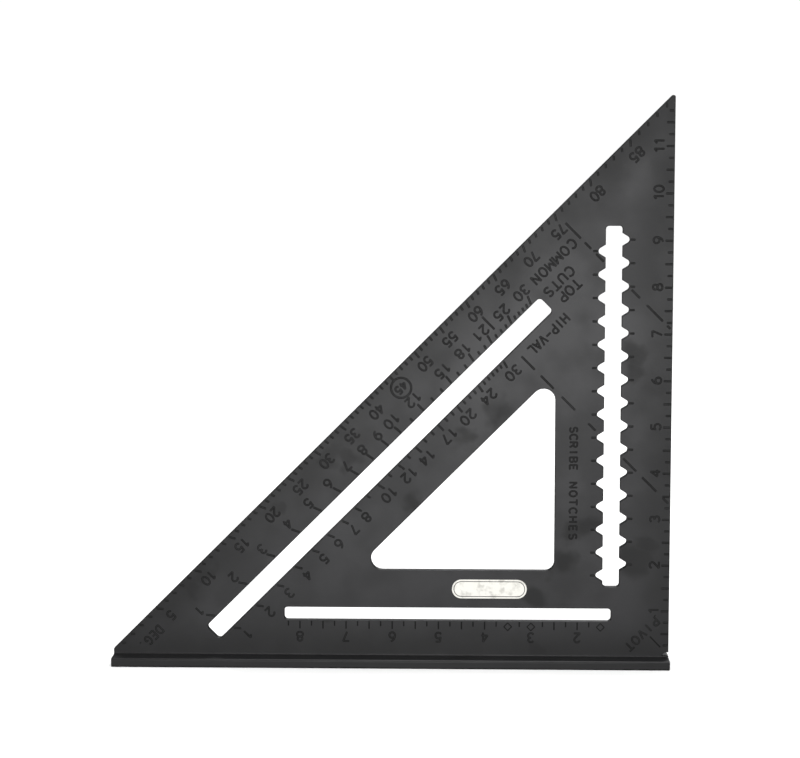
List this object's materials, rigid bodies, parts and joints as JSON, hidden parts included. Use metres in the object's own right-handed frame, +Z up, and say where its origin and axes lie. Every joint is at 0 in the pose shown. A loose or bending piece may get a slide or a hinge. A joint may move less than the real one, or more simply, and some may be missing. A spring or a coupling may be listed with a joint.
{
  "type": "speed square",
  "caption": "Black right-triangle layout square with a T fence, slots, a triangular window and rows of scribing notches.",
  "frame": {"origin": "centre of the fence's underside, on the surface that the square stands on", "axes": "+X along the fence from the blade's tip to the ruler edge, -Y out of the printed front face, +Z up the ruler edge"},
  "size_m": [0.3056, 0.0286, 0.3116],
  "materials": {
    "black_anodised": "satin black anodised, faintly smudged, with engraved scales",
    "black_anodised_fence": "satin black anodised bar",
    "silver_print": "printed warm silver ink"
  },
  "bodies": {
    "root": {"blade": "black_anodised", "fence": "black_anodised_fence", "maker_mark": "silver_print"}
  },
  "joints": []
}
